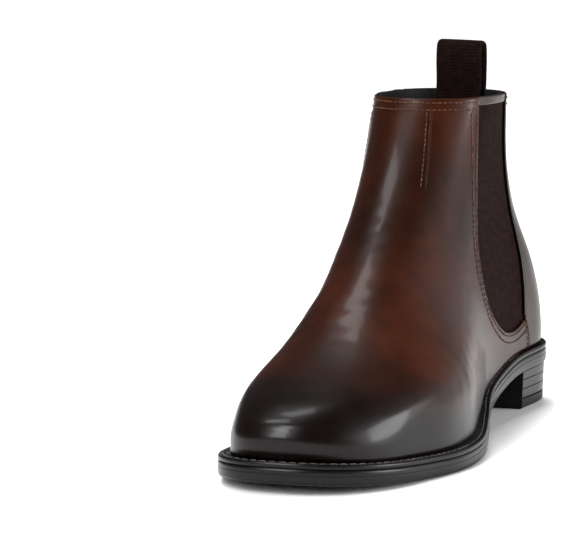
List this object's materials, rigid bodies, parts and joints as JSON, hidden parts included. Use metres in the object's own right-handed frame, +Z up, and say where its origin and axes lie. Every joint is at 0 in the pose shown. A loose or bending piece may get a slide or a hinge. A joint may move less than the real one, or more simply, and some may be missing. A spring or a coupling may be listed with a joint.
{
  "type": "chelsea boot",
  "caption": "Left ankle dress boot with elastic side gores, an inner side zip, a webbing pull loop at the back and a stacked block heel.",
  "frame": {"origin": "centre of the heel's ground contact face", "axes": "+Z up, -Y towards the toe, +X towards the outer (lateral) side of this left boot"},
  "size_m": [0.1033, 0.2943, 0.1812],
  "materials": {
    "upper_leather": "glossy burnished full-grain leather, darker at the toe",
    "binding_leather": "thin folded leather",
    "lining_leather": "matt black lining leather",
    "elastic": "dark brown woven elastic",
    "stiffener": "stiffener sheet",
    "board": "leatherboard",
    "cork": "cork filler",
    "steel": "plain steel",
    "rubber": "satin black rubber",
    "welt": "black finished welt",
    "stack": "black finished leather lifts",
    "zip_tape": "black woven tape",
    "zip_metal": "gunmetal",
    "webbing": "brown ribbed webbing"
  },
  "bodies": {
    "boot": {"back_quarter": "upper_leather", "binding_lateral": "binding_leather", "binding_medial": "binding_leather", "bottom_filler": "cork", "gore_lateral": "elastic", "gore_medial": "elastic", "heel_counter": "stiffener", "heel_lift_lower": "stack", "heel_lift_middle": "stack", "heel_lift_upper": "stack", "heel_top_piece": "rubber", "insole_board": "board", "outsole": "rubber", "pull_loop_tabs": "webbing", "quarter_lining": "lining_leather", "shank": "steel", "sock_liner": "lining_leather", "toe_puff": "stiffener", "vamp": "upper_leather", "vamp_lining": "lining_leather", "welt": "welt", "zip_guard": "lining_leather", "zip_strap": "upper_leather", "zip_tape_front": "zip_tape", "zip_tape_rear": "zip_tape", "zip_teeth_front": "zip_metal", "zip_teeth_rear": "zip_metal"},
    "zip_slider": {"zip_slider": "zip_metal"},
    "zip_pull": {"zip_pull": "zip_metal"},
    "loop": {"pull_loop": "webbing"}
  },
  "joints": [
    {"name": "zip_slide", "type": "slide", "parent": "boot", "child": "zip_slider", "axis": [0.0517, -0.0538, -0.9972], "range_m": [0, 0.0885]},
    {"name": "zip_pull_swing", "type": "hinge", "parent": "zip_slider", "child": "zip_pull", "pos_m": [-0.04009, -0.0097, 0.14485], "axis": [0.0417, 0.9978, -0.0516], "range_deg": [-2, 160]},
    {"name": "pull_loop_bend", "type": "hinge", "parent": "boot", "child": "loop", "pos_m": [-0.00765, 0.02131, 0.1589], "axis": [1, 0, 0], "range_deg": [-40, 40], "stiffness_Nm_per_rad": 0.02}
  ]
}
